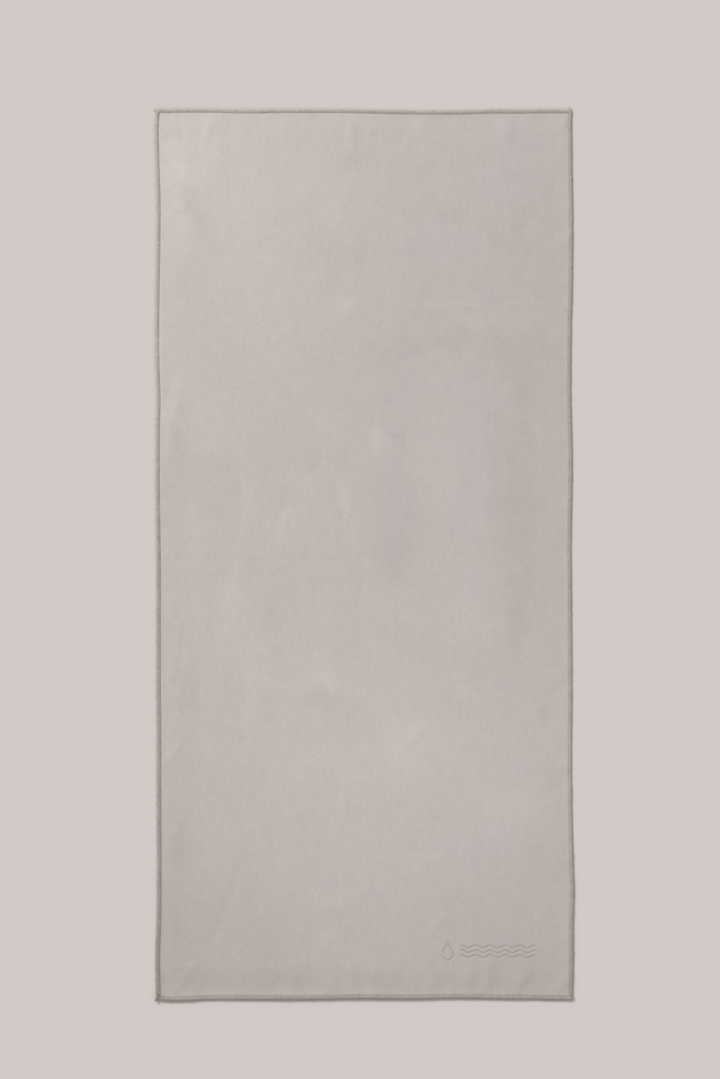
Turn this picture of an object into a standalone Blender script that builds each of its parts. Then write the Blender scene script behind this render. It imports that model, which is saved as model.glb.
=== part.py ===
"""Quick dry towel: one thin microfibre cloth with a three-thread overlocked edge.

Metres, +Z up. The towel lies flat with its front face up and its length along Y.
The origin is under its centre, on the surface that it lies on.

Each side of the cloth has a seam of its own, sewn right across and out over the
corner, so every seam has a free end, which runs to the edge of the towel, and a
butt end, which stops at the seam before it. The seams go round like a pinwheel.
An overlock seam is three threads: the upper looper thread covers the front of the
hem and wraps its edge, the lower looper thread does the same from the back, and
the needle thread holds both down along the seam's inner side.
"""

import bmesh
import bpy
from mathutils import Matrix, Vector

# Driving dimensions
TOWEL_WIDTH = 0.400        # along X, over the seams
TOWEL_LENGTH = 0.850       # along Y, over the seams
CLOTH_THICKNESS = 0.0010   # with its short pile
SEAM_WIDTH = 0.0043        # from the towel's edge to the inner side of the needle thread
LOOPER_LAYER = 0.00035     # looper threads lie side by side in a layer this thick
NEEDLE_DIAMETER = 0.0003   # of the needle thread
TAIL_DIAMETER = 0.0011     # of the three threads chained together
TAIL_LENGTH = 0.0015       # trimmed chain left standing out past a corner
GAP = 0.0001               # between pieces that touch on the real towel

# Rounded edges
CLOTH_ROUNDING = 0.00015
THREAD_ROUNDING = 0.00012
ROUNDING_SEGMENTS = 2
WELD_DISTANCE = 0.000001
TUBE_RESOLUTION = 2

# Worked out from the driving dimensions
HEM_RECESS = LOOPER_LAYER + GAP                 # room for a looper layer beside the cloth
SEAM_THICKNESS = CLOTH_THICKNESS + HEM_RECESS   # from the surface below to the seam's top
LOOPER_WIDTH = SEAM_WIDTH - NEEDLE_DIAMETER - GAP
NEEDLE_INSET = SEAM_WIDTH - NEEDLE_DIAMETER / 2
NEEDLE_HEIGHT = CLOTH_THICKNESS + GAP + NEEDLE_DIAMETER / 2

# Each side in sewing order: its name, the way it is sewn, its length and how far
# its edge is from the towel's centre
SIDES = (
    ("bottom", Vector((1, 0, 0)), TOWEL_WIDTH, TOWEL_LENGTH / 2),
    ("right", Vector((0, 1, 0)), TOWEL_LENGTH, TOWEL_WIDTH / 2),
    ("top", Vector((-1, 0, 0)), TOWEL_WIDTH, TOWEL_LENGTH / 2),
    ("left", Vector((0, -1, 0)), TOWEL_LENGTH, TOWEL_WIDTH / 2),
)
UP = Vector((0, 0, 1))


def clear_scene():
    for obj in list(bpy.data.objects):
        bpy.data.objects.remove(obj, do_unlink=True)


def make_material(name, color, roughness):
    material = bpy.data.materials.new(name)
    material.use_nodes = True
    shader = material.node_tree.nodes["Principled BSDF"]
    shader.inputs["Base Color"].default_value = (*color, 1)
    shader.inputs["Roughness"].default_value = roughness
    shader.inputs["Metallic"].default_value = 0
    return material


def add_object(name, data, material, collection):
    obj = bpy.data.objects.new(name, data)
    obj.data.materials.append(material)
    collection.objects.link(obj)
    return obj


def round_edges(obj, width):
    bevel = obj.modifiers.new("rounded_edges", "BEVEL")
    bevel.width = width
    bevel.segments = ROUNDING_SEGMENTS
    bevel.limit_method = "ANGLE"


def add_panel(material, collection):
    """The cloth: a slab whose hem is pressed thin from below, under the seams."""
    hem_thickness = CLOTH_THICKNESS - HEM_RECESS
    width = TOWEL_WIDTH - 2 * HEM_RECESS
    length = TOWEL_LENGTH - 2 * HEM_RECESS
    hem_width = SEAM_WIDTH - HEM_RECESS + GAP

    mesh = bpy.data.meshes.new("towel_panel")
    shape = bmesh.new()
    bmesh.ops.create_cube(shape, size=1)
    bmesh.ops.scale(shape, vec=(width, length, hem_thickness), verts=shape.verts)
    bmesh.ops.translate(shape, vec=UP * (HEM_RECESS + hem_thickness / 2), verts=shape.verts)
    shape.normal_update()
    underside = [face for face in shape.faces if face.normal.z < -0.5]
    bmesh.ops.inset_region(shape, faces=underside, thickness=hem_width, use_even_offset=True)
    pile = bmesh.ops.extrude_face_region(shape, geom=underside)["geom"]
    pile_corners = [item for item in pile if isinstance(item, bmesh.types.BMVert)]
    bmesh.ops.translate(shape, vec=-UP * HEM_RECESS, verts=pile_corners)
    bmesh.ops.delete(shape, geom=underside, context="FACES")
    bmesh.ops.recalc_face_normals(shape, faces=shape.faces)
    shape.to_mesh(mesh)
    shape.free()

    panel = add_object("towel_panel", mesh, material, collection)
    round_edges(panel, CLOTH_ROUNDING)


def looper_outline(on_front):
    """The seam's cross-section: a layer over the hem and a lip round half of its edge.

    The points are (distance in from the towel's edge, height).
    """
    lip_end = SEAM_THICKNESS / 2 + GAP / 2
    layer_side = SEAM_THICKNESS - LOOPER_LAYER
    outline = [
        (0, lip_end),
        (0, SEAM_THICKNESS),
        (LOOPER_WIDTH, SEAM_THICKNESS),
        (LOOPER_WIDTH, layer_side),
        (LOOPER_LAYER, layer_side),
        (LOOPER_LAYER, lip_end),
    ]
    if on_front:
        return outline
    return [(inset, SEAM_THICKNESS - height) for inset, height in outline]


def add_looper_thread(name, on_front, seam, material, collection):
    """A flat outline of the cross-section, extruded along the seam."""
    outline = looper_outline(on_front)
    curve = bpy.data.curves.new(name, "CURVE")
    curve.dimensions = "2D"
    curve.fill_mode = "BOTH"
    curve.extrude = seam["length"] / 2
    spline = curve.splines.new("POLY")
    spline.points.add(len(outline) - 1)
    for point, (inset, height) in zip(spline.points, outline):
        point.co = (inset, height, 0, 1)
    spline.use_cyclic_u = True

    thread = add_object(name, curve, material, collection)
    thread.matrix_world = Matrix.Translation(seam["middle"]) @ seam["turn"]
    weld = thread.modifiers.new("joined_ends", "WELD")
    weld.merge_threshold = WELD_DISTANCE
    round_edges(thread, THREAD_ROUNDING)


def add_tube(name, start, end, diameter, material, collection):
    curve = bpy.data.curves.new(name, "CURVE")
    curve.dimensions = "3D"
    curve.bevel_depth = diameter / 2
    curve.bevel_resolution = TUBE_RESOLUTION
    curve.use_fill_caps = True
    spline = curve.splines.new("POLY")
    spline.points.add(1)
    for point, place in zip(spline.points, (start, end)):
        point.co = (*place, 1)
    add_object(name, curve, material, collection)


def seam_frame(along, length, edge_distance):
    """Where one seam runs: its butt end leaves room for the seam across its corner."""
    outward = along.cross(UP)
    edge = outward * edge_distance
    butt_end = -length / 2 + SEAM_WIDTH + GAP
    free_end = length / 2
    return {
        "along": along,
        "inward": -outward,
        "start": edge + along * butt_end,
        "end": edge + along * free_end,
        "middle": edge + along * (butt_end + free_end) / 2,
        "length": free_end - butt_end,
        "turn": Matrix((-outward, UP, along)).transposed().to_4x4(),
    }


def add_seam(side, seam, material, collection):
    add_looper_thread(f"{side}_seam_upper_looper_thread", True, seam, material, collection)
    add_looper_thread(f"{side}_seam_lower_looper_thread", False, seam, material, collection)

    needle_line = seam["inward"] * NEEDLE_INSET + UP * NEEDLE_HEIGHT
    add_tube(
        f"{side}_seam_needle_thread",
        seam["start"] + needle_line,
        seam["end"] + needle_line,
        NEEDLE_DIAMETER,
        material,
        collection,
    )

    tail_line = seam["inward"] * (SEAM_WIDTH / 2) + UP * (TAIL_DIAMETER / 2)
    tail_start = seam["end"] + seam["along"] * GAP + tail_line
    add_tube(
        f"{side}_seam_chain_tail",
        tail_start,
        tail_start + seam["along"] * TAIL_LENGTH,
        TAIL_DIAMETER,
        material,
        collection,
    )


def main():
    clear_scene()
    towel = bpy.data.collections.new("quick_dry_towel")
    bpy.context.scene.collection.children.link(towel)
    cloth = make_material("cloth", (0.51, 0.47, 0.44), 0.9)
    thread = make_material("thread", (0.40, 0.36, 0.33), 0.7)

    add_panel(cloth, towel)
    for side, along, length, edge_distance in SIDES:
        add_seam(side, seam_frame(along, length, edge_distance), thread, towel)


main()
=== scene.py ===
"""Looks of the quick dry towel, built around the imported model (metres, +Z up).

One sheet of microfibre suede lies flat, front face up, with real sewing thread in
an overlock seam along each side. Everything on the towel is first placed on the
flat, uncreased cloth and then moved by lay(), so that the cloth, its hem and every
stitch follow the same creases, puckers and wandering edge.
"""

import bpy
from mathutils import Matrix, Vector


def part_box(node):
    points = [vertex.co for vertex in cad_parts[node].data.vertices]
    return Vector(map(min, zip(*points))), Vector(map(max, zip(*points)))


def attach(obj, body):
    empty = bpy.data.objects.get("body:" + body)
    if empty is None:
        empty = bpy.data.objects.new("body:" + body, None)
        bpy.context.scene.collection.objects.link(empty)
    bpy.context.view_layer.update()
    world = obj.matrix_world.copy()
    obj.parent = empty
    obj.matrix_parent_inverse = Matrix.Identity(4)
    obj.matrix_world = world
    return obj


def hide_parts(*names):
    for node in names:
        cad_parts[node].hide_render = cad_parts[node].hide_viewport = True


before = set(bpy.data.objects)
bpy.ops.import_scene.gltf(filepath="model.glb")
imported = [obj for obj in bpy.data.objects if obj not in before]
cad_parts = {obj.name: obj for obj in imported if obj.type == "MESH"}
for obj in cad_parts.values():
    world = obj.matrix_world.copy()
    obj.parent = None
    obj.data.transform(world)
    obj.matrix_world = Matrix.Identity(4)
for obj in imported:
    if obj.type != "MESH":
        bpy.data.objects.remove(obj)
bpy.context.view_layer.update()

import math

import bmesh
import bpy
import numpy as np
from mathutils import Vector

MM = 0.001
TAU = 2 * math.pi

# ---------- sizes, from the frame
PANEL_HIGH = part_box("towel_panel")[1]
NEEDLE_LOW, NEEDLE_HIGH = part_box("right_seam_needle_thread")
LOOPER_LOW, LOOPER_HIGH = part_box("right_seam_upper_looper_thread")
TAIL_LOW, TAIL_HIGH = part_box("right_seam_chain_tail")

HALF_WIDTH = LOOPER_HIGH.x
HALF_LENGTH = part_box("top_seam_upper_looper_thread")[1].y
CLOTH_INSET = HALF_WIDTH - PANEL_HIGH.x
CLOTH_THICKNESS = PANEL_HIGH.z
SEAM_WIDTH = HALF_WIDTH - NEEDLE_LOW.x
NEEDLE_INSET = HALF_WIDTH - (NEEDLE_LOW.x + NEEDLE_HIGH.x) / 2
BUTT_INSET = HALF_LENGTH + LOOPER_LOW.y
TAIL_LENGTH = TAIL_HIGH.y - TAIL_LOW.y
TAIL_RADIUS = (TAIL_HIGH.x - TAIL_LOW.x) / 2

# Each side: the way it is sewn, the way it faces, and half of its length and of the
# towel across it
SIDES = {
    "bottom": ((1, 0), (0, -1), HALF_WIDTH, HALF_LENGTH),
    "right": ((0, 1), (1, 0), HALF_LENGTH, HALF_WIDTH),
    "top": ((-1, 0), (0, 1), HALF_WIDTH, HALF_LENGTH),
    "left": ((0, -1), (-1, 0), HALF_LENGTH, HALF_WIDTH),
}

# ---------- the hem
# Seeds of the irregular waves along the sides, to which a side's number is added
SCALLOP_SEED = 100
GATHER_SEED = 200
ARCH_SEED = 300

# The cloth's thickness over its distance in from the towel's edge, in millimetres:
# squeezed by the seam, pinched at the needle line, full where the pile is free.
HEM_PROFILE = (
    (0.0, 0.25), (0.45, 0.38), (1.1, 0.56), (2.1, 0.66), (3.2, 0.58), (3.8, 0.46), (4.15, 0.36),
    (4.6, 0.48), (5.2, 0.68), (6.2, 0.86), (7.8, 0.96), (11.0, CLOTH_THICKNESS / MM),
)
LOOPER_RADIUS = 0.17 * MM      # half of the thickness of the flattened looper thread
REST_HEIGHT = 0.06 * MM        # the pile holds the cloth off the floor
HEM_LIFT = 2 * LOOPER_RADIUS + REST_HEIGHT
HEM_LIFT_FADE = 4 * MM         # how far in from the seam the cloth comes down
# The seam's tension rolls the hem into a bead, which is higher and narrower
ARCH_HEIGHT = {"bottom": 0.75 * MM, "right": 0.60 * MM, "top": 0.55 * MM, "left": 0.65 * MM}
ARCH_LENGTHS = (17, 26, 41, 58)  # of the waves in its height, in millimetres
ARCH_VARIATION = 0.3           # of its height
# How much narrower the bead is where each side's seam starts and where it ends, in
# millimetres
ARCH_NARROWING = {
    "bottom": (0.1, 0.1),
    "right": (0.9, 0.9),
    "top": (-0.3, 0.0),
    "left": (0.0, -0.8),
}

# How far each edge wanders outwards: (distance from the towel's centre along the
# side's own sewing direction, offset), both in millimetres.
EDGE_WANDER = {
    "bottom": (
        (-199, -0.3), (-192, 1.3), (-175, 1.7), (-150, 0.4), (-110, 0.3), (-75, 0.4), (-40, 0.1),
        (0, -0.6), (40, -0.1), (85, -1.0), (135, -0.3), (175, 0.3), (192, 0.5), (199, 0.2),
    ),
    "right": (
        (-424, -0.7), (-412, 0.1), (-385, 0.7), (-353, 0.4), (-330, 1.3), (-270, 0.1),
        (-196, -0.8), (-120, -0.4), (-60, -0.7), (14, -1.2), (90, -0.1), (150, -1.3),
        (205, -1.2), (262, 0.1), (340, 0.3), (376, -0.4), (424, -0.7),
    ),
    "top": (
        (-198, 0.0), (-173, 0.3), (-150, -0.2), (-125, 0.0), (-97, -0.9), (-40, -0.8), (17, 0.4),
        (71, 0.5), (118, 0.3), (150, 0.9), (198, 0.7),
    ),
    "left": (
        (-424, -0.9), (-412, 0.0), (-376, -0.3), (-338, -1.5), (-300, -1.4), (-224, -0.2),
        (-186, -0.3), (-147, -1.5), (-119, -0.9), (-71, -0.8), (5, -1.7), (82, -1.8),
        (120, -1.8), (158, -2.2), (225, -2.2), (310, -2.6), (349, -2.3), (387, -1.1),
        (408, -1.5), (424, -1.9),
    ),
}
WANDER_FADE = 45 * MM          # how far in from the edge the cloth follows it

# The seams' tension gathers the hem into small irregular scallops, and the cloth
# beside it into puckers that lean the way the cloth was fed. Lengths are in millimetres.
SCALLOP_LENGTHS = (7.6, 9.2, 10.4, 12.9, 19.0)
SCALLOP_DEPTH = 0.26 * MM      # of the edge, in plan
SCALLOP_FADE = 5 * MM
PUCKER_HEIGHT = {"bottom": 0.95 * MM, "right": 0.35 * MM, "top": 0.60 * MM, "left": 0.45 * MM}
PUCKER_LEAN = {"bottom": 0.55, "right": -0.8, "top": 0.30, "left": -0.8}
PUCKER_VARIATION = 0.35        # of their height
PUCKER_AT_EDGE = 0.3           # share of their height that is left at the edge
PUCKER_FADE = 8 * MM
GATHER_LENGTHS = (23, 31, 44, 67)
GATHER_HEIGHT = 0.4 * MM       # longer, softer waves further in
GATHER_RAISE = 0.6             # of their height, how far they all lie above the cloth
GATHER_FADE = 24 * MM

# ---------- the cloth's relief
# Slow waves all over, left from the way that the towel was packed
SWELL_HEIGHT = 0.55 * MM
SWELL_LENGTHS = (70 * MM, 240 * MM)
SWELL_COUNT = 14
SWELL_SEED = 11
HEM_HOLD = 0.75                # the hem's weight takes this share of them away beside it
HEM_HOLD_FADE = 30 * MM
DIMPLE_HEIGHT = 0.05 * MM
DIMPLE_LENGTHS = (12 * MM, 38 * MM)
DIMPLE_COUNT = 40
DIMPLE_SEED = 23

# Soft creases: centre x and y, direction in degrees from +X, half length, half width
# and height, in millimetres
CREASES = (
    # beside the top seam
    (-185, 421, 90, 5, 3.0, -0.45),
    (-148, 406, 75, 12, 4.5, 0.80),
    (-76, 408, 80, 11, 3.2, 0.55),
    (-11, 403, 90, 15, 5.6, 0.95),
    (7, 406, 80, 8, 3.0, 0.35),
    (56, 410, 88, 10, 7.0, 0.80),
    (76, 407, 85, 12, 6.0, -0.55),
    (136, 403, 90, 14, 5.6, 0.90),
    (190, 409, 80, 8, 4.6, 0.85),
    # beside the bottom seam
    (-131, -335, 68, 36, 3.6, -0.50),
    (-164, -392, 55, 12, 7.0, 0.40),
    (-172, -404, 52, 14, 4.4, 0.75),
    (-104, -408, 85, 9, 4.4, 0.55),
    (-88, -404, 70, 12, 3.6, 0.35),
    (-68, -412, 85, 7, 3.6, 0.35),
    (-29, -408, 80, 8, 4.4, 0.50),
    (-12, -406, 88, 11, 4.4, 0.75),
    (8, -403, 88, 13, 5.0, 0.85),
    (27, -404, 55, 9, 3.8, 0.50),
    (64, -408, 75, 9, 5.5, 0.70),
    (99, -406, 97, 11, 6.5, 1.15),
    (107, -409, 100, 9, 3.4, -0.35),
    (118, -408, 95, 10, 4.6, 0.75),
    (131, -408, 75, 10, 4.4, -0.50),
    (149, -408, 62, 11, 5.2, 1.10),
    (161, -406, 62, 11, 5.0, -0.30),
    (190, -408, 55, 12, 4.8, 1.00),
    # beside the right and left seams
    (186, -120, 12, 9, 3.2, 0.35),
    (187, 190, 172, 9, 3.0, 0.30),
    (-186, -60, 48, 12, 3.4, 0.40),
    (-184, -190, 50, 14, 3.6, 0.50),
    (-180, -262, 52, 16, 3.8, 0.50),
    (-181, -95, 80, 34, 2.6, 0.35),
    (-174, -120, 82, 40, 2.6, 0.35),
    (-166, -135, 82, 36, 2.6, -0.15),
    (-182, 130, 78, 40, 3.0, 0.35),
    # in the middle of the cloth
    (14, 106, 88, 15, 3.6, 0.30),
    (-76, 27, 76, 19, 4.0, 0.40),
    (-17, 50, 100, 22, 4.0, 0.20),
    (-36, -126, -32, 18, 6.0, 0.60),
    (-92, -152, 75, 13, 4.0, -0.40),
    (46, -176, 45, 19, 4.0, 0.35),
    (85, 330, 0, 18, 4.0, -0.35),
    (68, -356, 48, 15, 4.6, 0.50),
)
# Straight folds pressed into the cloth, each one a low ridge along X: centre x and y,
# half length, half width and height, in millimetres
FOLDS = (
    (79, 237, 112, 1.7, 0.08),
    (-100, -5, 100, 1.7, -0.08),
)
FOLD_WHOLE = 0.8               # share of a fold's half length over which it is at its full height
FOLD_FADE = 0.25               # share over which it then fades out

# Parts of the hem that stand off the floor: centre x and y, direction, half lengths
# and height, in millimetres
LIFTS = (
    (205, -360, 90, 60, 16, 1.0),
    (-200, -428, 0, 26, 12, 0.5),
    (0, -430, 0, 240, 12, 1.6),
)

# ---------- the pile
# Where the cloth looks lighter or darker, by the way its pile was brushed and by painted
# light and shade: across the towel, on the hems' beads and on creases and folds. Each is its
# centre x and y, direction in degrees, half length, half width, and lightness in percent.
# First soft shades, then patches with crisper outlines.
TONE_AND_PAINTED_SHADE = (
    # wide: tone of the pile, with painted light and shade across the towel
    (150, 240, 90, 190, 110, -5.0),
    (10, 330, 90, 150, 70, -2.5),
    (-150, 150, 90, 110, 60, -1.8),
    (40, -200, 0, 190, 120, 6.5),
    (60, -190, 0, 140, 90, 3.0),
    (120, 40, 90, 150, 60, -1.8),
    (0, 180, 0, 120, 70, -1.6),
    (-150, -370, 60, 90, 60, -4.0),
    (150, 400, 0, 60, 30, -1.5),
    (155, -392, 0, 50, 30, -1.8),
    (0, -392, 0, 60, 25, 1.0),
    (-20, -230, 90, 170, 110, 1.2),
    (-35, -105, 90, 60, 50, 2.0),
    (25, -300, 0, 150, 45, 2.0),
    (-110, -65, 90, 45, 28, 1.4),
    (-182, -305, 90, 75, 20, -5.0),
    (-172, 305, 90, 70, 20, -1.8),
    (55, 385, 0, 100, 45, -2.4),
    (40, 290, 0, 120, 40, -1.4),
    (-178, 35, 90, 70, 14, -2.4),
    (-85, 70, 0, 35, 30, -1.8),
    (-5, 130, 90, 30, 28, -1.5),
    (-178, -395, 90, 50, 20, -2.5),
    (150, 330, 90, 110, 60, -1.6),
    # on the hems: painted light and shade on the seams' beads, their shaded sides and grooves,
    # and the corner knobs
    (-197, 240, 90, 170, 4.0, 6.0),
    (-198, 147, 90, 100, 3.0, 6.0),
    (-199, -60, 90, 170, 3.0, -4.0),
    (-198, -280, 90, 100, 4.0, -3.5),
    (-199, -400, 90, 60, 5.0, -12.0),
    (0, 424.0, 0, 190, 1.6, 3.0),
    (90, 419.0, 0, 110, 3.0, -1.8),
    (0, -422.6, 0, 240, 3.0, -13.0),
    (0, -424.6, 0, 240, 1.3, -8.0),
    (196.5, -400, 90, 50, 3.0, -4.0),
    (-198, -421, 0, 5, 5, -9.0),
    (-198, 419, 0, 4, 3, -9.0),
    (-186, 420.5, 0, 6, 2.2, -12.0),
)
# Patches of brushed pile tone; those that lie on creases and folds are painted light on their
# ridges and painted shade in their hollows
BRUSHED_AND_PAINTED_RIDGES = (
    # top left corner
    (-181, 335, 92, 54, 12, 4.2),
    (-165, 385, 75, 36, 22, 3.0),
    (-160, 320, -80, 17, 8, -2.5),
    (-144, 298, -60, 14, 9, -1.8),
    # under the top seam
    (-15, 370, 0, 11, 7, -1.6),
    (-25, 333, 70, 19, 6, 1.6),
    (46, 325, 0, 10, 6, -2.6),
    (85, 324, 0, 15, 8, -3.0),
    (147, 314, 80, 25, 6, -2.2),
    (127, 312, 90, 22, 9, -1.4),
    (-3, 290, 90, 19, 6, -1.6),
    (-30, 266, 80, 15, 10, -1.5),
    (-17, 237, 90, 10, 8, 2.6),
    # beside the fold: a painted highlight along its ridge, and brushed tone
    (131, 225, 0, 59, 12, 1.5),
    (118, 238.5, 0, 72, 1.8, 1.6),
    (42, 197, 0, 14, 11, -3.0),
    (79, 206, 0, 20, 13, -2.8),
    (118, 199, 0, 20, 12, -1.2),
    (155, 197, 0, 36, 15, -1.6),
    (10, 188, 0, 18, 16, -1.2),
    # columns above the middle
    (84, 85, 90, 100, 33, 2.8),
    (111, 75, 90, 50, 6, 1.8),
    (155, 152, 90, 32, 13, -3.0),
    (150, 60, 90, 62, 13, -1.6),
    (31, 109, 90, 15, 10, -3.4),
    (14, 105, 90, 14, 6, 3.6),
    (45, 125, 0, 33, 2.4, 1.6),
    (29, 66, 0, 27, 22, -2.2),
    (30, 15, 0, 25, 30, -2.0),
    (-178, 95, 85, 35, 10, -2.2),
    (-150, 115, 90, 24, 19, 1.4),
    (-140, 60, 90, 34, 21, -1.8),
    (-112, 38, 90, 35, 6, 2.2),
    (-75, 26, 76, 18, 6, 3.0),
    (-164, 30, 90, 30, 4, 2.2),
    (-17, 50, 100, 22, 6, 2.8),
    (-51, 64, 80, 12, 6, 1.6),
    (-28, 121, 0, 14, 13, 1.6),
    (-52, 147, 0, 48, 17, 1.1),
    (-186, 135, 80, 40, 5, 3.0),
    (-51, 90, 0, 11, 8, -2.0),
    # under the middle
    (-126, -49, 90, 52, 10, 2.8),
    (-110, -150, 86, 42, 6, 2.8),
    (-102, -103, 90, 24, 10, 2.0),
    (-86, -62, 90, 38, 11, -1.8),
    (-42, -55, 90, 18, 9, 1.4),
    (19, -14, 0, 19, 17, -2.6),
    (88, -45, 0, 45, 39, 1.5),
    (108, -58, 0, 26, 26, 1.4),
    (146, -62, 90, 43, 9, -3.0),
    (-32, -118, -40, 16, 6, 3.0),
    (-41, -138, -15, 15, 9, -3.4),
    (-4, -163, 0, 22, 19, -2.4),
    (-91, -153, 70, 9, 6, -3.0),
    (45, -179, 30, 26, 20, 2.4),
    (-36, -194, 0, 15, 11, 2.4),
    (-21, -229, 90, 24, 3.5, 2.2),
    (137, -250, 0, 30, 28, 1.7),
    (76, -229, 0, 22, 28, -1.0),
    # left side and bottom
    (-176, -287, 0, 14, 13, -2.8),
    (-169, -146, 80, 33, 10, -2.8),
    (-176, -230, 85, 45, 12, -1.8),
    (57, -290, 35, 16, 7, 2.2),
    (-31, -329, 0, 18, 10, 2.0),
    (-38, -364, 0, 11, 8, 2.2),
    (20, -340, 80, 9, 4, -2.6),
    (180, -218, 0, 10, 13, -2.4),
    (172, -151, 80, 11, 4, -2.8),
    (0, -409, 0, 200, 13, -4.0),
    (-120, -405, 0, 80, 10, -1.5),
)
PATCH_STRENGTH = 1.3
PATCH_EDGE = 4               # power that gives the patches crisp outlines
PATCH_WARP = 3 * MM            # how ragged the outlines of the patches are
PATCH_WARP_LENGTHS = (12 * MM, 60 * MM)
PATCH_WARP_COUNT = 24
PATCH_WARP_SEEDS = (31, 37)    # for x and for y

# Where the cloth looks warmer, towards CLOTH_WARM, or cooler, towards CLOTH_COOL, in the
# same way, the last number being 1 for wholly warm and -1 for wholly cool
TINTED = (
    (-70, 20, 90, 480, 130, 0.25),
    (-100, 380, 0, 55, 38, 0.70),
    (-30, -160, 0, 120, 70, 0.20),
    (104, 85, 88, 125, 24, -1.10),
    (32, 60, 90, 115, 24, -0.80),
    (65, 290, 0, 35, 28, -0.70),
    (140, 372, 90, 45, 28, -0.90),
    (144, 20, 90, 70, 16, 0.60),
    (142, -160, 90, 110, 22, -0.50),
    (75, -278, 8, 90, 26, -0.70),
    (-55, -302, -20, 60, 20, -0.60),
    (-130, -262, -35, 34, 16, -0.60),
    (-165, -175, 90, 50, 16, -0.40),
    (-128, -375, 0, 26, 14, -0.70),
    (28, -374, 0, 24, 18, -0.50),
    (15, -323, 0, 62, 16, -0.65),
    (112, -262, 0, 28, 16, -0.60),
    (122, -362, 0, 34, 14, -0.60),
    (68, 158, 0, 46, 16, -0.50),
    (104, -32, 90, 32, 16, -0.50),
    (120, 192, 0, 32, 14, 0.60),
    (15, 255, 0, 60, 24, 0.45),
)
# Where it looks rosier, or greener where negative. 1 adds ROSE to its colour.
ROSY = (
    (-171, 385, 90, 52, 24, -0.9),
    (-62, 378, 0, 62, 40, 1.1),
    (-80, 312, 0, 42, 26, 1.1),
    (-158, 245, 90, 62, 28, 1.4),
    (-165, 140, 90, 48, 20, 0.6),
    (-38, 90, 90, 190, 36, -0.4),
    (48, -180, 0, 62, 30, 0.7),
    (-20, -262, 0, 95, 24, -0.5),
    (140, 0, 90, 60, 18, -0.4),
    (-110, -60, 90, 60, 22, 0.5),
)
TINT_NOISE = 1.3               # how far the hue strays besides, as a share of its range

# ---------- the pressed mark
# A plain drop and three wavy lines, pressed into the pile in place of any name
MARK_CENTRE = (117 * MM, -379 * MM)
MARK_DEPTH = 0.42 * MM
MARK_STROKE = 0.60 * MM        # half of a stroke's width
MARK_SOFTNESS = 0.30 * MM      # over which a stroke's side slopes
MARK_SHADE = 0.12              # how much darker the flattened pile is
MARK_MARGIN = 1.4 * MM         # of finer mesh round it
DROP_OFFSET = -37 * MM         # from the mark's centre, along X
DROP_RADIUS = 5.2 * MM
DROP_HEIGHT = 16 * MM
DROP_POINTS = 40               # round its arc
WAVE_START = -24 * MM
WAVE_END = 46 * MM
WAVE_LENGTH = 14 * MM
WAVE_HEIGHT = 1.3 * MM
WAVE_SPACING = 4.6 * MM
WAVE_POINTS = 61

# ---------- stitches
STITCH = 2.0 * MM
LOOPER_HALF_WIDTH = 0.27 * MM  # the textured thread spreads flat on the cloth
LOOPER_FULLNESS = 0.22         # of its width, how much it swells and thins
LOOPER_FULLNESS_LENGTHS = (0.7, 1.3, 2.9, 4.7)  # in stitches
LOOPER_FLATNESS = 0.97         # of its thickness, so that it doesn't touch the cloth
LOOPER_LEAN = 0.42             # of a stitch, from the needle line to the edge
LOOPER_JITTER = 0.10           # of a stitch, how irregularly the loops are spaced
LOOPER_FRONT_PHASE = 0.25      # of a stitch, how far the front's loops are ahead of the back's
LOOPER_TURN = 0.97             # how sharply it turns back, 1 being a corner
LOOPER_FRONT_SEED = 10         # added to the seed of the front's jitter
LOOPER_SAMPLES = 16            # per stitch
LOOPER_SIDES = 8
# A looper thread's way over the hem: across it, and then by three points round the cut
# edge to where the two looper threads lock
ACROSS_SAMPLES = 12
ACROSS_START = 0.05 * MM       # out from the needle line
ACROSS_END = 0.25 * MM         # in from the cut edge
ROUND_INSET = 0.06 * MM        # of the second point, in from the lock
ROUND_HEIGHTS = (0.7, 0.25, -0.6)  # over the cloth's face, in the thread's radii
ROUND_FACING = (60, 25, 0)     # which way the flat thread faces, in degrees up from level
NEEDLE_RADIUS = 0.15 * MM
NEEDLE_WIDENING = 1.15         # of its radius, as it lies flattened on the looper threads
NEEDLE_STAND = 0.6             # of its radius, from what it is pulled into to its centre
NEEDLE_DIP = 0.30 * MM         # how deep it goes into the cloth between stitches
NEEDLE_DIP_POWER = 4           # makes the dips short
NEEDLE_SAMPLES = 10            # per stitch
NEEDLE_SIDES = 6
TAIL_PITCH = 1.7 * MM          # of its three twisted strands
TAIL_LOOSENESS = 0.50          # of its radius, how far its strands are from its middle
TAIL_TANGLE = 0.14             # of its radius, how much that changes
TAIL_SAG = 0.6                 # share of the way down to the floor that its end hangs
TAIL_CLEARANCE = 1.1           # of the thread's radius, from the floor to a strand's middle
TAIL_SAMPLES = 40
TAIL_STRANDS = 3
STRAND_VARIATION = 0.15        # of its width, how much wider each strand is than the last
# Each side's chain tail: its length and thickness as shares of the plain tail's, how
# far it bends to the side as a share of its length, and how far before the seam's end
# its root is, in millimetres. The last seam's end is a tangled knob.
TAILS = {
    "bottom": (1.3, 1.1, 0.3, 0.8),
    "right": (0.9, 1.1, -0.2, 0.8),
    "top": (0.8, 1.0, 0.2, 0.8),
    "left": (0.4, 4.2, 0.3, 5.8),
}
TAIL_LIGHTNESS = {"bottom": 1.02, "right": 0.97, "top": 1.05, "left": 0.80}

# ---------- the cloth's grid
COARSE_CELL = 8.0 * MM         # before it is refined
FINE_CUTS = 2                  # of each coarse cell's side, on the front and the hem
MARK_CUTS = 5                  # of each fine cell's side, under the mark
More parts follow.
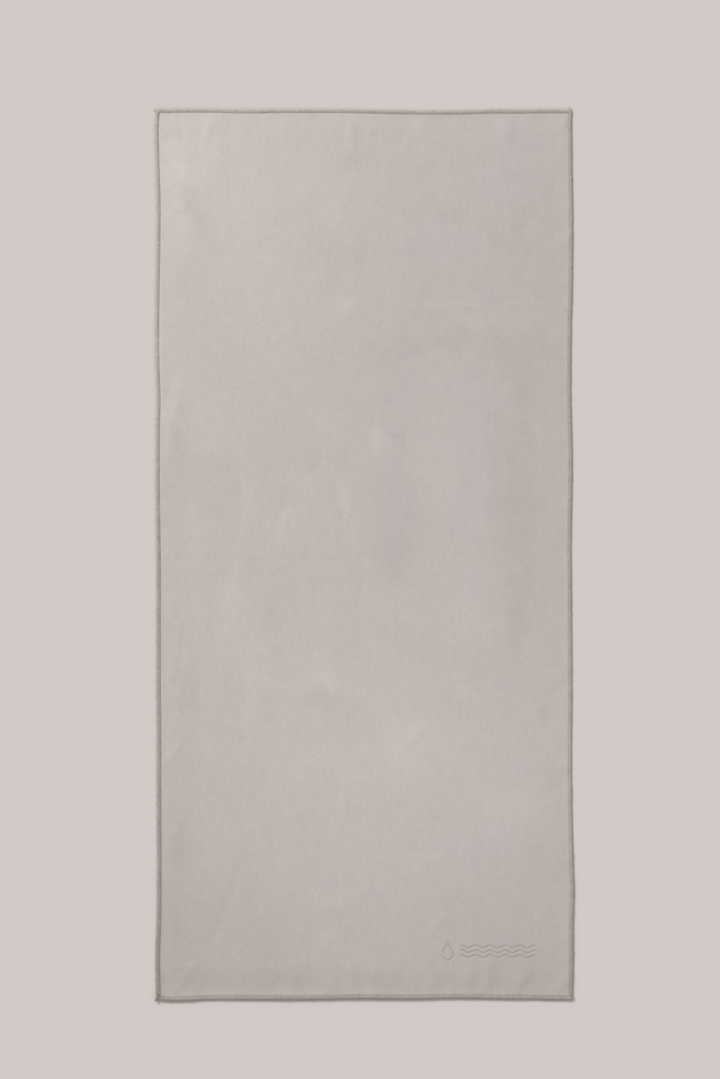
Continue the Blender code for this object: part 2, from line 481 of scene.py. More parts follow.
# Rows over the hem, in from the cut edge, and over a fold, from its middle, in millimetres
HEM_ROWS = (0, 0.3, 0.8, 1.5, 2.2, 2.8, 3.3, 3.7, 4.1, 4.5, 5.0, 5.6, 6.4, 7.4, 8.8, 10.6, 13.0)
FOLD_ROWS = (-3.2, -2.0, -1.0, 0, 1.0, 2.0, 3.2)
HEM_MARGIN = 1.0 * MM          # how far past its rows the back's mesh is still fine
BACK, CUT_EDGE, FRONT = 0, 0.5, 1  # where in the cloth's thickness a point of the flat mesh is
TINY = 1e-9

# ---------- relief functions
def wave_along(distance, lengths, seed):
    """An irregular wave along a line, from -1 to 1. distance and lengths are in one unit."""
    rng = np.random.default_rng(seed)
    total = 0
    for length in lengths:
        total = total + np.sin(TAU * distance / length + rng.uniform(0, TAU))
    return total / len(lengths)


def wave_field(x, y, lengths, count, seed):
    """Soft irregular hills and hollows, mostly between -1 and 1, of wavelengths between
    two lengths."""
    rng = np.random.default_rng(seed)
    total = np.zeros_like(x)
    for _ in range(count):
        angle = rng.uniform(0, TAU)
        length = rng.uniform(*lengths)
        along = x * math.cos(angle) + y * math.sin(angle)
        total += np.sin(TAU * along / length + rng.uniform(0, TAU))
    return total / math.sqrt(count)


def smooth_step(value):
    value = np.clip(value, 0, 1)
    return value * value * (3 - 2 * value)


def smooth_line(places, points):
    """A smooth curve through (place, value) points."""
    at, values = np.array(points).T
    slopes = np.gradient(values, at)
    index = np.clip(np.searchsorted(at, places) - 1, 0, len(at) - 2)
    span = at[index + 1] - at[index]
    share = np.clip((places - at[index]) / span, 0, 1)
    blend = smooth_step(share)
    leave = share * (1 - share) ** 2 * span * slopes[index]
    arrive = share ** 2 * (1 - share) * span * slopes[index + 1]
    return values[index] * (1 - blend) + values[index + 1] * blend + leave - arrive


def soft_spots(x, y, spots, power=2):
    """The sum of soft elongated spots at places. Each spot is its centre x and y, its
    direction in degrees, its half length and width, and its strength. A higher power
    makes their outlines crisper."""
    total = np.zeros_like(x)
    for centre_x, centre_y, degrees, half_length, half_width, strength in spots:
        angle = math.radians(degrees)
        dx, dy = x / MM - centre_x, y / MM - centre_y
        along = (dx * math.cos(angle) + dy * math.sin(angle)) / half_length
        across = (dy * math.cos(angle) - dx * math.sin(angle)) / half_width
        total += strength * np.exp(-np.abs(along) ** power - np.abs(across) ** power)
    return total


def fold_height(x, y):
    """Low straight ridges along X that fade out at their ends."""
    total = np.zeros_like(x)
    for centre_x, centre_y, half_length, half_width, height in FOLDS:
        along = np.abs(x / MM - centre_x) / half_length
        across = (y / MM - centre_y) / half_width
        faded = smooth_step((along - FOLD_WHOLE) / FOLD_FADE)
        total += height * np.exp(-across ** 2) * (1 - faded)
    return total * MM


def side_places(x, y):
    """For each side: its name, the direction that it faces, half of its length, and where
    flat places lie along it and in from its edge."""
    for name, (along, outward, half_along, half_across) in SIDES.items():
        distance = x * along[0] + y * along[1]
        inset = half_across - (x * outward[0] + y * outward[1])
        yield name, outward, half_along, distance, inset


def edge_inset(x, y):
    """How far flat places are from the nearest edge."""
    return np.minimum(HALF_WIDTH - np.abs(x), HALF_LENGTH - np.abs(y))


def hem_thickness(inset):
    """How thick the cloth is at a distance in from the towel's edge."""
    insets, values = np.array(HEM_PROFILE).T * MM
    return np.interp(inset, insets, values)


def hem_rise(inset, arch):
    """How high the hem's underside is over the rest of the cloth's: the seam lies under
    it, and it rolls into a bead."""
    off_floor = 1 - smooth_step((inset - SEAM_WIDTH) / HEM_LIFT_FADE)
    across = np.clip((inset - CLOTH_INSET) / (NEEDLE_INSET - CLOTH_INSET), 0, 1)
    return HEM_LIFT * off_floor + arch * np.sin(math.pi * across)


def lay(x, y):
    """Where flat places on the cloth's underside go: x, y and height over the floor."""
    moved_x, moved_y = x.copy(), y.copy()
    arch = np.zeros_like(x)
    nearest = edge_inset(x, y)
    free = 1 - HEM_HOLD * np.exp(-np.maximum(nearest, 0) / HEM_HOLD_FADE)
    swell = wave_field(x, y, SWELL_LENGTHS, SWELL_COUNT, SWELL_SEED)
    height = SWELL_HEIGHT * (1 + swell) / 2 * free
    height += DIMPLE_HEIGHT * wave_field(x, y, DIMPLE_LENGTHS, DIMPLE_COUNT, DIMPLE_SEED)
    height += (soft_spots(x, y, CREASES) + soft_spots(x, y, LIFTS)) * MM
    height += fold_height(x, y)
    for number, (name, outward, half_along, distance, inset) in enumerate(side_places(x, y)):
        inset = np.maximum(inset, 0)
        wander = smooth_line(distance / MM, EDGE_WANDER[name]) * MM
        leaning = distance - PUCKER_LEAN[name] * np.maximum(inset - NEEDLE_INSET, 0)
        scallop = wave_along(leaning / MM, SCALLOP_LENGTHS, SCALLOP_SEED + number)
        gather = wave_along(leaning / MM, GATHER_LENGTHS, GATHER_SEED + number)
        shift = wander * np.exp(-inset / WANDER_FADE)
        shift += SCALLOP_DEPTH * scallop * np.exp(-inset / SCALLOP_FADE)
        narrowing = np.interp(distance, (-half_along, half_along), ARCH_NARROWING[name]) * MM
        shift -= narrowing * (1 - smooth_step(inset / SEAM_WIDTH))
        moved_x += outward[0] * shift
        moved_y += outward[1] * shift
        rise = np.clip(inset / SEAM_WIDTH, PUCKER_AT_EDGE, 1)
        strength = PUCKER_HEIGHT[name] * (1 - PUCKER_VARIATION + PUCKER_VARIATION * gather)
        height += strength * (1 + scallop) / 2 * rise * np.exp(-inset / PUCKER_FADE)
        height += GATHER_HEIGHT * (GATHER_RAISE + gather) / 2 * np.exp(-inset / GATHER_FADE)
        roll = 1 + ARCH_VARIATION * wave_along(distance / MM, ARCH_LENGTHS, ARCH_SEED + number)
        arch = np.where(inset <= nearest + TINY, ARCH_HEIGHT[name] * roll, arch)
    height = np.maximum(height, 0) + REST_HEIGHT + hem_rise(nearest, arch)
    return moved_x, moved_y, height


def pile_and_painted_lightness(x, y):
    """How light the pile looks at flat places, around 1: its brushed tone, with painted light and
    shade added from the two tables.
    """
    bent_x, bent_y = (
        place + PATCH_WARP * wave_field(x, y, PATCH_WARP_LENGTHS, PATCH_WARP_COUNT, seed)
        for place, seed in zip((x, y), PATCH_WARP_SEEDS)
    )
    percent = PATCH_STRENGTH * soft_spots(bent_x, bent_y, BRUSHED_AND_PAINTED_RIDGES, PATCH_EDGE)
    percent += soft_spots(x, y, TONE_AND_PAINTED_SHADE)
    return 1 + percent / 100


def distance_to_line(x, y, line):
    """Distance of many points from a line through a few points."""
    nearest = np.full_like(x, np.inf)
    for (ax, ay), (bx, by) in zip(line, line[1:]):
        dx, dy = bx - ax, by - ay
        share = np.clip(((x - ax) * dx + (y - ay) * dy) / (dx * dx + dy * dy), 0, 1)
        nearest = np.minimum(nearest, np.hypot(x - ax - share * dx, y - ay - share * dy))
    return nearest


def mark_lines():
    """The drop's outline and the wavy lines, as lists of points on the flat cloth."""
    centre_x, centre_y = MARK_CENTRE
    drop_y = -DROP_HEIGHT / 2 + DROP_RADIUS
    tip_y = DROP_HEIGHT / 2
    tangent = math.acos(DROP_RADIUS / (tip_y - drop_y))
    start, end = math.pi / 2 + tangent, math.pi / 2 + TAU - tangent
    drop = [(0, tip_y)]
    for angle in np.linspace(start, end, DROP_POINTS):
        drop.append((DROP_RADIUS * math.cos(angle), drop_y + DROP_RADIUS * math.sin(angle)))
    drop.append((0, tip_y))
    lines = [[(centre_x + DROP_OFFSET + px, centre_y + py) for px, py in drop]]
    for row in (-1, 0, 1):
        wave = []
        for px in np.linspace(WAVE_START, WAVE_END, WAVE_POINTS):
            py = WAVE_SPACING * row + WAVE_HEIGHT * math.sin(TAU * px / WAVE_LENGTH)
            wave.append((centre_x + px, centre_y + py))
        lines.append(wave)
    return lines


def mark_depth(x, y):
    """How deep the mark is pressed into the pile at flat places."""
    depth = np.zeros_like(x)
    near = in_mark(x, y)
    if not near.any():
        return depth
    nearest = np.full(near.sum(), np.inf)
    for line in mark_lines():
        nearest = np.minimum(nearest, distance_to_line(x[near], y[near], line))
    side = (nearest - MARK_STROKE) / MARK_SOFTNESS
    depth[near] = MARK_DEPTH * (1 - smooth_step(side))
    return depth


def in_mark(x, y):
    """Whether flat places lie in the patch that holds the mark."""
    low_x = MARK_CENTRE[0] + DROP_OFFSET - DROP_RADIUS - MARK_MARGIN
    high_x = MARK_CENTRE[0] + WAVE_END + MARK_MARGIN
    reach_y = DROP_HEIGHT / 2 + MARK_MARGIN
    return (x > low_x) & (x < high_x) & (np.abs(y - MARK_CENTRE[1]) < reach_y)


# ---------- meshes
def store(mesh, name, values):
    """Keeps a value for each point of a mesh, for its material to read."""
    attribute = mesh.attributes.new(name, "FLOAT", "POINT")
    attribute.data.foreach_set("value", values.astype(np.float32))


def add_piece(name, mesh, material):
    mesh.materials.append(material)
    mesh.shade_smooth()
    piece = bpy.data.objects.new(name, mesh)
    bpy.context.scene.collection.objects.link(piece)
    return piece


def grid_lines(half, folds=()):
    """Where the cloth's grid lines run across it: close together over the hem and over
    the folds, whose places are given."""
    edge = half - CLOTH_INSET - np.array(HEM_ROWS) * MM
    inner = edge[-1]
    steps = round(2 * inner / COARSE_CELL)
    middle = np.linspace(-inner, inner, steps + 1)[1:-1]
    for fold in folds:
        middle = middle[np.abs(middle - fold) > FOLD_ROWS[-1] * MM + COARSE_CELL / 4]
        middle = np.concatenate([middle, fold + np.array(FOLD_ROWS) * MM])
    return np.concatenate([-edge, np.sort(middle), edge[::-1]])


def flat_cloth():
    """The cloth's two faces and its cut edge as one flat closed mesh. z says where in the
    thickness a point is, from BACK to FRONT."""
    folds = [centre_y * MM for _, centre_y, _, _, _ in FOLDS]
    xs, ys = grid_lines(HALF_WIDTH), grid_lines(HALF_LENGTH, folds)
    columns, rows = len(xs), len(ys)
    count = columns * rows
    grid_x, grid_y = np.meshgrid(xs, ys)
    index = np.arange(count).reshape(rows, columns)
    corners = [index[:-1, :-1], index[:-1, 1:], index[1:, 1:], index[1:, :-1]]
    quads = np.stack(corners, -1).reshape(-1, 4)
    rim = np.concatenate([index[0, :-1], index[:-1, -1], index[-1, :0:-1], index[:0:-1, 0]])
    rim_next = np.roll(rim, -1)

    front = np.stack([grid_x.ravel(), grid_y.ravel(), np.full(count, FRONT)], -1)
    back = front * (1, 1, BACK)
    middle = front[rim] * (1, 1, CUT_EDGE)
    middle_index = 2 * count + np.arange(len(rim))
    middle_next = np.roll(middle_index, -1)
    walls = [
        np.stack([middle_index, middle_next, rim_next, rim], -1),
        np.stack([rim + count, rim_next + count, middle_next, middle_index], -1),
    ]
    faces = np.concatenate([quads, quads[:, ::-1] + count, *walls])
    mesh = bpy.data.meshes.new("towel_cloth")
    mesh.from_pydata(np.concatenate([front, back, middle]).tolist(), [], faces.tolist())
    return mesh


def refine(mesh):
    """Finer faces on the front and along the hem, and finer still under the mark."""
    shape = bmesh.new()
    shape.from_mesh(mesh)
    hem_width = HEM_ROWS[-1] * MM + HEM_MARGIN
    shown = []
    for edge in shape.edges:
        a, b = (vert.co for vert in edge.verts)
        inset = max(min(HALF_WIDTH - abs(p.x), HALF_LENGTH - abs(p.y)) for p in (a, b))
        on_back = max(a.z, b.z) < CUT_EDGE
        if (a - b).length > COARSE_CELL / 2 and not (on_back and inset > hem_width):
            shown.append(edge)
    bmesh.ops.subdivide_edges(shape, edges=shown, cuts=FINE_CUTS, use_grid_fill=True)
    mark = []
    for edge in shape.edges:
        middle = (edge.verts[0].co + edge.verts[1].co) / 2
        if middle.z > (CUT_EDGE + FRONT) / 2 and in_mark(middle.x, middle.y):
            mark.append(edge)
    bmesh.ops.subdivide_edges(shape, edges=mark, cuts=MARK_CUTS, use_grid_fill=True)
    # Faces beside finer ones have more than four corners, and would shade unevenly
    uneven = [face for face in shape.faces if len(face.verts) > 4]
    bmesh.ops.triangulate(shape, faces=uneven)
    shape.to_mesh(mesh)
    shape.free()


def make_cloth(material):
    """The cloth's mesh, laid in its creases, with its mark and its shades."""
    mesh = flat_cloth()
    refine(mesh)
    flat = np.empty(len(mesh.vertices) * 3, np.float32)
    mesh.vertices.foreach_get("co", flat)
    x, y, layer = flat.reshape(-1, 3).astype(float).T
    moved_x, moved_y, height = lay(x, y)
    pressed = layer * mark_depth(x, y)
    height += layer * hem_thickness(edge_inset(x, y)) - pressed
    laid = np.stack([moved_x, moved_y, height], -1)
    mesh.vertices.foreach_set("co", laid.astype(np.float32).ravel())
    store(mesh, "lightness", pile_and_painted_lightness(x, y) * (1 - MARK_SHADE * pressed / MARK_DEPTH))
    store(mesh, "warmth", (1 + soft_spots(x, y, TINTED) - TINT_NOISE) / 2)
    store(mesh, "rosiness", soft_spots(x, y, ROSY))
    mesh.update()
    return add_piece("towel_cloth", mesh, material)


# ---------- thread
def tube(centres, normals, half_width, half_height, sides):
    """A closed tube along centres, flattened along normals. half_width may change along
    it. Returns its points and faces."""
    tangents = np.gradient(centres, axis=0)
    across = np.cross(tangents, normals)
    across /= np.linalg.norm(across, axis=1, keepdims=True)
    up = np.cross(across, tangents)
    up /= np.linalg.norm(up, axis=1, keepdims=True)
    angles = TAU * np.arange(sides) / sides
    width = np.broadcast_to(half_width, len(centres))[:, None, None]
    rings = (
        centres[:, None]
        + width * np.cos(angles)[None, :, None] * across[:, None]
        + half_height * np.sin(angles)[None, :, None] * up[:, None]
    )
    first = np.arange(len(centres) - 1)[:, None] * sides
    around = np.arange(sides)[None]
    after = (around + 1) % sides
    corners = [first + around, first + after, first + sides + after, first + sides + around]
    quads = np.stack(corners, -1).reshape(-1, 4).tolist()
    last = (len(centres) - 1) * sides
    caps = [list(range(sides))[::-1], list(range(last, last + sides))]
    return rings.reshape(-1, 3), quads + caps


def thread_mesh(name, tubes):
    """One mesh of several closed tubes, facing outwards."""
    points, faces, count = [], [], 0
    for tube_points, tube_faces in tubes:
        points.append(tube_points)
        faces += [[corner + count for corner in face] for face in tube_faces]
        count += len(tube_points)
    mesh = bpy.data.meshes.new(name)
    mesh.from_pydata(np.concatenate(points).tolist(), [], faces)
    shape = bmesh.new()
    shape.from_mesh(mesh)
    bmesh.ops.recalc_face_normals(shape, faces=shape.faces)
    shape.to_mesh(mesh)
    shape.free()
    return mesh


def flat_places(side, distance, inset):
    """x and y on the flat cloth of places along a side and in from its edge."""
    along, outward, _, half_across = SIDES[side]
    x = along[0] * distance + outward[0] * (half_across - inset)
    y = along[1] * distance + outward[1] * (half_across - inset)
    return x, y


def on_side(side, distance, inset, height):
    """Points in the frame from places along a side, in from its edge, and over the
    cloth's underside."""
    moved_x, moved_y, under = lay(*flat_places(side, distance, inset))
    return np.stack([moved_x, moved_y, under + height], -1)


def add_strand(name, strand, side, distance, inset, material):
    """A piece of one thread, whose lightness follows the cloth's along the side, painted light
    and shade on the hems included.
    """
    mesh = thread_mesh(name, [strand])
    around = len(mesh.vertices) // len(distance)
    values = pile_and_painted_lightness(*flat_places(side, distance, inset))
    store(mesh, "lightness", np.repeat(values, around))
    return add_piece(name, mesh, material)


def looper_profile(on_front):
    """A looper thread's way across the hem, from the needle line to where the two looper
    threads lock at the edge: shares of the way, insets, heights and facing angles."""
    across = np.linspace(NEEDLE_INSET - ACROSS_START, CLOTH_INSET + ACROSS_END, ACROSS_SAMPLES)
    lock = CLOTH_INSET - LOOPER_RADIUS
    insets = np.concatenate([across, [CLOTH_INSET, lock + ROUND_INSET, lock]])
    round_heights = np.array(ROUND_HEIGHTS) * LOOPER_RADIUS
    facing = np.radians(np.concatenate([np.full(len(across), 90), ROUND_FACING]))
    if on_front:
        heights = hem_thickness(insets) + LOOPER_RADIUS
        heights[ACROSS_SAMPLES:] = hem_thickness(CLOTH_INSET) + round_heights
    else:
        heights = np.full_like(insets, -LOOPER_RADIUS)
        heights[ACROSS_SAMPLES:] = -round_heights
        facing = -facing
    steps = np.hypot(np.diff(insets), np.diff(heights))
    share = np.concatenate([[0], np.cumsum(steps)])
    return share / share[-1], insets, heights, facing


def seam_span(side):
    """Where a seam starts and ends along its side."""
    half = SIDES[side][2]
    return -half + BUTT_INSET, half


def make_looper(side, on_front, material):
    """Two legs of thread to a stitch: out from the needle line to the edge, and back."""
    start, end = seam_span(side)
    stitches = round((end - start) / STITCH)
    turns = np.arange(stitches * LOOPER_SAMPLES + 1) / LOOPER_SAMPLES
    rng = np.random.default_rng(len(side) + LOOPER_FRONT_SEED * on_front)
    jitter = np.interp(turns, np.arange(stitches + 1), rng.normal(0, LOOPER_JITTER, stitches + 1))
    phase = LOOPER_FRONT_PHASE if on_front else 0
    swing = np.arcsin(LOOPER_TURN * np.sin(TAU * (turns - phase))) / math.asin(LOOPER_TURN)
    share_out = 0.5 + 0.5 * swing
    lean = LOOPER_LEAN * (share_out - 0.5)
    distance = start + (end - start) * np.clip((turns + lean + jitter) / stitches, 0, 1)

    shares, insets, heights, facing = looper_profile(on_front)
    inset = np.interp(share_out, shares, insets)
    height = np.interp(share_out, shares, heights)
    angle = np.interp(share_out, shares, facing)
    centres = on_side(side, distance, inset, height)
    outward = SIDES[side][1]
    level = np.cos(angle)
    normals = np.stack([outward[0] * level, outward[1] * level, np.sin(angle)], -1)
    fullness = 1 + LOOPER_FULLNESS * wave_along(turns, LOOPER_FULLNESS_LENGTHS, len(side))
    half_width = LOOPER_HALF_WIDTH * fullness
    name = f"{side}_seam_{'upper' if on_front else 'lower'}_looper_stitches"
    strand = tube(centres, normals, half_width, LOOPER_RADIUS * LOOPER_FLATNESS, LOOPER_SIDES)
    return add_strand(name, strand, side, distance, inset, material)


def make_needle(side, material):
    """Straight stitches over the looper threads' inner loops, through the cloth between."""
    start, end = seam_span(side)
    stitches = round((end - start) / STITCH)
    turns = np.arange(stitches * NEEDLE_SAMPLES + 1) / NEEDLE_SAMPLES
    distance = start + (end - start) * turns / stitches
    through = ((1 + np.cos(TAU * turns)) / 2) ** NEEDLE_DIP_POWER
    stand = NEEDLE_STAND * NEEDLE_RADIUS
    over = stand + 2 * LOOPER_RADIUS
    under = stand - NEEDLE_DIP
    height = hem_thickness(NEEDLE_INSET) + over + (under - over) * through
    inset = np.full_like(distance, NEEDLE_INSET)
    centres = on_side(side, distance, inset, height)
    normals = np.broadcast_to([0.0, 0.0, 1.0], centres.shape)
    name = f"{side}_seam_needle_stitches"
    half_width = NEEDLE_RADIUS * NEEDLE_WIDENING
    strand = tube(centres, normals, half_width, NEEDLE_RADIUS, NEEDLE_SIDES)
    return add_strand(name, strand, side, distance, inset, material)


def make_tail(side, material):
    """The seam's threads run on past the corner, looped round each other and trimmed."""
    along, outward, half, _ = SIDES[side]
    length_share, thickness_share, bend, root_inset = TAILS[side]
    radius = TAIL_RADIUS * thickness_share
    root_distance = half - root_inset * MM
    root_height = TAIL_RADIUS * (1 + root_inset * MM / SEAM_WIDTH) / 2
    root = on_side(side, np.array([root_distance]), np.array([SEAM_WIDTH / 2]), root_height)[0]
    length = TAIL_LENGTH * length_share + half - root_distance
    share = np.linspace(0, 1, TAIL_SAMPLES)
    reach = length * share
    sideways = bend * length * share ** 2
    sag = TAIL_SAG * (root[2] - radius) * smooth_step(share)
    middle = np.stack([
        root[0] + along[0] * reach + outward[0] * sideways,
        root[1] + along[1] * reach + outward[1] * sideways,
        root[2] - sag,
    ], -1)
    tubes = []
    for strand in range(TAIL_STRANDS):
        turn = TAU * (strand / TAIL_STRANDS + reach / TAIL_PITCH)
        loose = radius * (TAIL_LOOSENESS + TAIL_TANGLE * np.sin(2 * turn + strand))
        aside = loose * np.cos(turn)
        offset = np.stack([outward[0] * aside, outward[1] * aside, loose * np.sin(turn)], -1)
        centres = middle + offset
        centres[:, 2] = np.maximum(centres[:, 2], TAIL_CLEARANCE * LOOPER_RADIUS)
        width = LOOPER_RADIUS * (1 + STRAND_VARIATION * strand) * math.sqrt(thickness_share)
        tubes.append(tube(centres, offset, width, LOOPER_RADIUS, LOOPER_SIDES))
    name = f"{side}_seam_chain_end"
    mesh = thread_mesh(name, tubes)
    store(mesh, "lightness", np.full(len(mesh.vertices), TAIL_LIGHTNESS[side]))
    return add_piece(name, mesh, material)


# ---------- materials
CLOTH_WARM = (0.510, 0.465, 0.427, 1)
CLOTH_COOL = (0.510, 0.463, 0.445, 1)
ROSE = (0.0044, -0.0013, 0.0)
GRAIN_RELIEF = 0.7             # shares of the bump that are the pile's grain
FIBRE_RELIEF = 0.5             # and its fibres
THREAD_LIGHT = (0.460, 0.415, 0.376, 1)
THREAD_DARK = (0.395, 0.354, 0.320, 1)
BACKGROUND_COLOR = (0.644, 0.591, 0.571, 1)
# Sockets of a mix node for colours, whose names aren't unique: its factor, A and B, and
# its result
MIX_INPUTS = (0, 6, 7)
MIX_RESULT = 2


class Nodes:
    """Adds nodes to one material, each wired as it is made."""

    def __init__(self, name):
        self.material = bpy.data.materials.new(name)
        self.material.use_nodes = True
        self.tree = self.material.node_tree
        self.shader = self.tree.nodes["Principled BSDF"]

    def add(self, kind, inputs=(), **settings):
        node = self.tree.nodes.new(kind)
        for key, value in settings.items():
            setattr(node, key, value)
        for key, value in dict(inputs).items():
            self.wire(node.inputs[key], value)
        return node

    def wire(self, socket, value):
        if isinstance(value, bpy.types.NodeSocket):
            self.tree.links.new(value, socket)
        else:
            socket.default_value = value

    def noise(self, size, stretch=1.0, detail=2.0, roughness=0.5, distortion=0.0):
        """Noise with features of about this size in metres, stretched along Y, from 0 to 1."""
        place = self.add("ShaderNodeTexCoord").outputs["Object"]
        scale = (1 / size, 1 / (size * stretch), 1 / size)
        place = self.add("ShaderNodeMapping", {"Vector": place, "Scale": scale})
        inputs = {
            "Vector": place.outputs["Vector"],
            "Scale": 1.0,
            "Detail": detail,
            "Roughness": roughness,
            "Distortion": distortion,
        }
        return self.add("ShaderNodeTexNoise", inputs).outputs["Fac"]

    def attribute(self, name):
        """A value that store() kept."""
        return self.add("ShaderNodeAttribute", attribute_name=name).outputs["Fac"]

    def math(self, operation, first, second):
        node = self.add("ShaderNodeMath", {0: first, 1: second}, operation=operation)
        return node.outputs["Value"]

    def product(self, first, *others):
        for other in others:
            first = self.math("MULTIPLY", first, other)
        return first

    def between(self, value, low, high):
        """A 0 to 1 value turned into one between two numbers."""
        inputs = {"Value": value, "To Min": low, "To Max": high}
        return self.add("ShaderNodeMapRange", inputs).outputs["Result"]

    def spread(self, value, amount):
        """A 0 to 1 value turned into a factor around 1, this far each way."""
        return self.between(value, 1 - amount, 1 + amount)

    def bump(self, height, strength, distance):
        inputs = {"Height": height, "Strength": strength, "Distance": distance}
        return self.add("ShaderNodeBump", inputs).outputs["Normal"]

    def tint(self, color, factor):
        """A colour made lighter or darker by a factor."""
        inputs = {0: color, "Scale": factor}
        node = self.add("ShaderNodeVectorMath", inputs, operation="SCALE")
        return node.outputs["Vector"]

    def mix(self, share, first, second):
        """The first colour at 0, the second at 1."""
        node = self.add("ShaderNodeMix", data_type="RGBA")
        for socket, value in zip(MIX_INPUTS, (share, first, second)):
            self.wire(node.inputs[socket], value)
        return node.outputs[MIX_RESULT]

    def finish(self, **inputs):
        """Wires the shader's own sockets and returns the material."""
        for key, value in inputs.items():
            self.wire(self.shader.inputs[key.replace("_", " ")], value)
        return self.material


def suede_material():
    """Short brushed pile: fine grain, streaks along the brushing, and soft patches where
    the pile lies the other way; the stored lightness also carries painted light and shade."""
    nodes = Nodes("microfibre_suede")
    stray = nodes.noise(size=30 * MM, detail=3, distortion=0.6)
    warmth = nodes.math("ADD", nodes.attribute("warmth"), nodes.product(stray, TINT_NOISE))
    cloud = nodes.noise(size=70 * MM, stretch=1.3, detail=2)
    mottle = nodes.noise(size=14 * MM, stretch=1.4, detail=3, roughness=0.8)
    streaks = nodes.noise(size=4.5 * MM, stretch=3.5, detail=2)
    grain = nodes.noise(size=2.0 * MM, detail=3, roughness=0.8)
    fibre = nodes.noise(size=0.35 * MM, stretch=2.2, detail=2, roughness=0.6)

    factor = nodes.product(
        nodes.attribute("lightness"),
        nodes.spread(cloud, amount=0.040),
        nodes.spread(mottle, amount=0.040),
        nodes.spread(streaks, amount=0.035),
        nodes.spread(grain, amount=0.16),
        nodes.spread(fibre, amount=0.05),
    )
    rose = nodes.tint(ROSE, nodes.attribute("rosiness"))
    hue = {0: nodes.mix(warmth, CLOTH_COOL, CLOTH_WARM), 1: rose}
    hue = nodes.add("ShaderNodeVectorMath", hue, operation="ADD").outputs["Vector"]
    grain_height = nodes.product(grain, GRAIN_RELIEF)
    height = nodes.math("ADD", grain_height, nodes.product(fibre, FIBRE_RELIEF))
    return nodes.finish(
        Base_Color=nodes.tint(hue, factor),
        Roughness=nodes.between(grain, low=0.86, high=0.98),
        Normal=nodes.bump(height, strength=0.35, distance=0.12 * MM),
        Specular_IOR_Level=0.25,
        Sheen_Weight=0.20,
        Sheen_Roughness=0.45,
        Sheen_Tint=(0.95, 0.91, 0.88, 1),
    )


def thread_material():
    """Textured polyester sewing thread: many fine filaments with little gloss."""
    nodes = Nodes("sewing_thread")
    lengthwise = nodes.noise(size=26 * MM, detail=2)
    uneven = nodes.noise(size=2.6 * MM, detail=1)
    filaments = nodes.noise(size=0.16 * MM, detail=2, roughness=0.6)
    color = nodes.mix(filaments, THREAD_DARK, THREAD_LIGHT)
    factor = nodes.product(
        nodes.attribute("lightness"),
        nodes.spread(lengthwise, amount=0.09),
        nodes.spread(uneven, amount=0.45),
    )
    return nodes.finish(
        Base_Color=nodes.tint(color, factor),
        Roughness=nodes.between(filaments, low=0.62, high=0.82),
        Normal=nodes.bump(filaments, strength=0.5, distance=0.06 * MM),
        Specular_IOR_Level=0.3,
        Sheen_Weight=0.12,
        Sheen_Roughness=0.5,
    )


def floor_material():
    """Plain and pale, with hardly any unevenness."""
    nodes = Nodes("pale_floor")
    mottle = nodes.noise(size=0.9, detail=2)
    color = nodes.tint(BACKGROUND_COLOR[:3], nodes.spread(mottle, amount=0.003))
    return nodes.finish(Base_Color=color, Roughness=0.95, Specular_IOR_Level=0.0)


# ---------- studio
FILL = 0.60                    # light from all round
FILL_COLOR = (1.015, 1.0, 0.970, 1)  # warmer than the key, so shadows are warm
KEY_COLOR = (0.936, 0.957, 1.0)
KEY_PLACE = Vector((-1.5, 1.8, 1.8))  # beyond the towel's top left corner
KEY_POWER = 60.6
KEY_SIZE = 1.0
FLOOR_SUN_STRENGTH = 2.184
FLOOR_SUN_SPREAD = math.radians(20)
FLOOR_SIZE = 60.0

CAMERA_LENS = 85
CAMERA_SENSOR = 36
VIEW_LENGTH = 1.0293           # what the camera sees along Y, at the towel's height
CAMERA_ASIDE = Vector((-3.9 * MM, 14.3 * MM, 0))  # from the towel's centre


def add_camera():
    """Straight over the towel, looking down."""
    data = bpy.data.cameras.new("camera")
    data.lens = CAMERA_LENS
    data.sensor_width = CAMERA_SENSOR
    camera = bpy.data.objects.new("camera", data)
    distance = VIEW_LENGTH * CAMERA_LENS / CAMERA_SENSOR
    camera.location = CAMERA_ASIDE + Vector((0, 0, CLOTH_THICKNESS + distance))
    bpy.context.scene.collection.objects.link(camera)
    bpy.context.scene.camera = camera


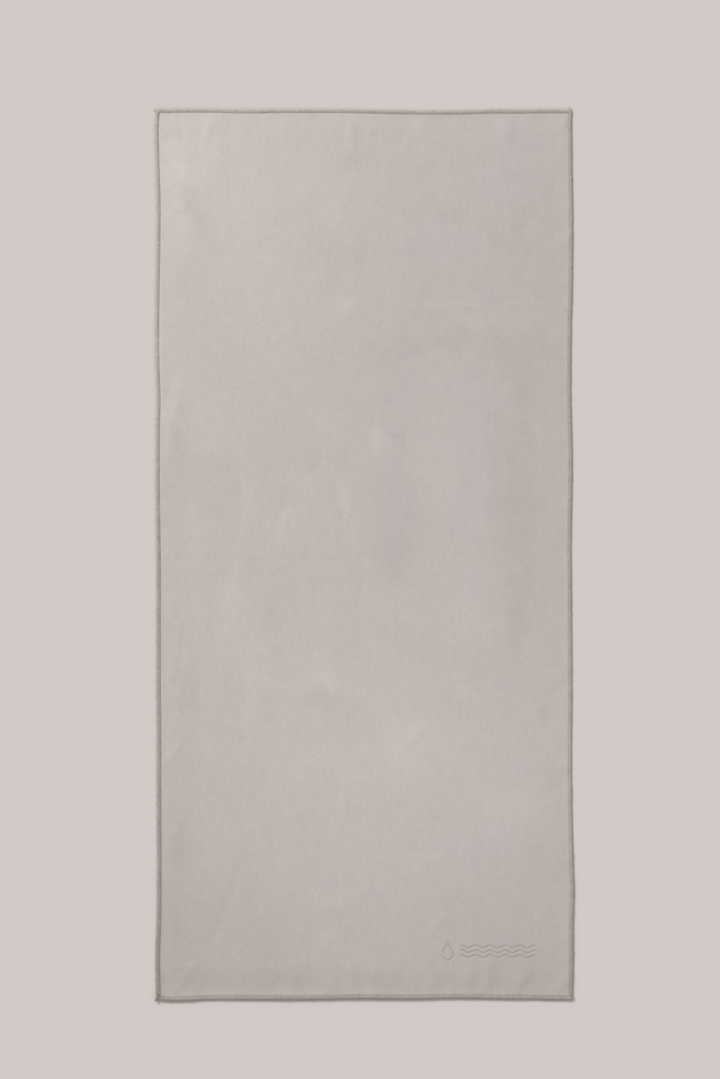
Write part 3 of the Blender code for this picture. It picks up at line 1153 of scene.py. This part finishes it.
def add_world(scene):
    """Even light from all round. The camera sees the pale background instead."""
    world = bpy.data.worlds.new("studio")
    world.use_nodes = True
    tree = world.node_tree
    light = tree.nodes["Background"]
    light.inputs["Color"].default_value = FILL_COLOR
    light.inputs["Strength"].default_value = FILL
    seen = tree.nodes.new("ShaderNodeBackground")
    seen.inputs["Color"].default_value = BACKGROUND_COLOR
    path = tree.nodes.new("ShaderNodeLightPath")
    either = tree.nodes.new("ShaderNodeMixShader")
    tree.links.new(path.outputs["Is Camera Ray"], either.inputs[0])
    tree.links.new(light.outputs[0], either.inputs[1])
    tree.links.new(seen.outputs[0], either.inputs[2])
    tree.links.new(either.outputs[0], tree.nodes["World Output"].inputs["Surface"])
    scene.world = world


def add_light(name, kind, lit_pieces, **settings):
    """A light at the key's place, aimed at the towel, that lights only some pieces."""
    data = bpy.data.lights.new(name, kind)
    data.color = KEY_COLOR
    for key, value in settings.items():
        setattr(data, key, value)
    light = bpy.data.objects.new(name, data)
    light.location = KEY_PLACE
    light.rotation_mode = "QUATERNION"
    light.rotation_quaternion = (-KEY_PLACE).to_track_quat("-Z", "Y")
    lit = bpy.data.collections.new(f"lit_by_{name}")
    for piece in lit_pieces:
        lit.objects.link(piece)
    light.light_linking.receiver_collection = lit
    bpy.context.scene.collection.objects.link(light)


def add_studio(towel_pieces):
    """A pale floor under a soft key light from the top left."""
    scene = bpy.context.scene
    scene.view_settings.view_transform = "Standard"
    add_world(scene)

    mesh = bpy.data.meshes.new("floor")
    shape = bmesh.new()
    bmesh.ops.create_grid(shape, x_segments=1, y_segments=1, size=FLOOR_SIZE / 2)
    shape.to_mesh(mesh)
    shape.free()
    floor = add_piece("floor", mesh, floor_material())

    # A near softbox shades across the towel, while the floor gets the same light evenly
    add_light("key", "AREA", towel_pieces, shape="DISK", size=KEY_SIZE, energy=KEY_POWER)
    add_light("floor_light", "SUN", [floor], energy=FLOOR_SUN_STRENGTH, angle=FLOOR_SUN_SPREAD)


# ---------- the towel
def declare(piece, node):
    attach(piece, "root")
    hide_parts(node)
    return piece


def main():
    add_camera()
    cloth = declare(make_cloth(suede_material()), "towel_panel")
    thread = thread_material()
    stitches = []
    for side in SIDES:
        made = {
            "upper_looper_thread": make_looper(side, True, thread),
            "lower_looper_thread": make_looper(side, False, thread),
            "needle_thread": make_needle(side, thread),
            "chain_tail": make_tail(side, thread),
        }
        for node, piece in made.items():
            stitches.append(declare(piece, f"{side}_seam_{node}"))
    add_studio([cloth, *stitches])


main()
bpy.context.view_layer.update()
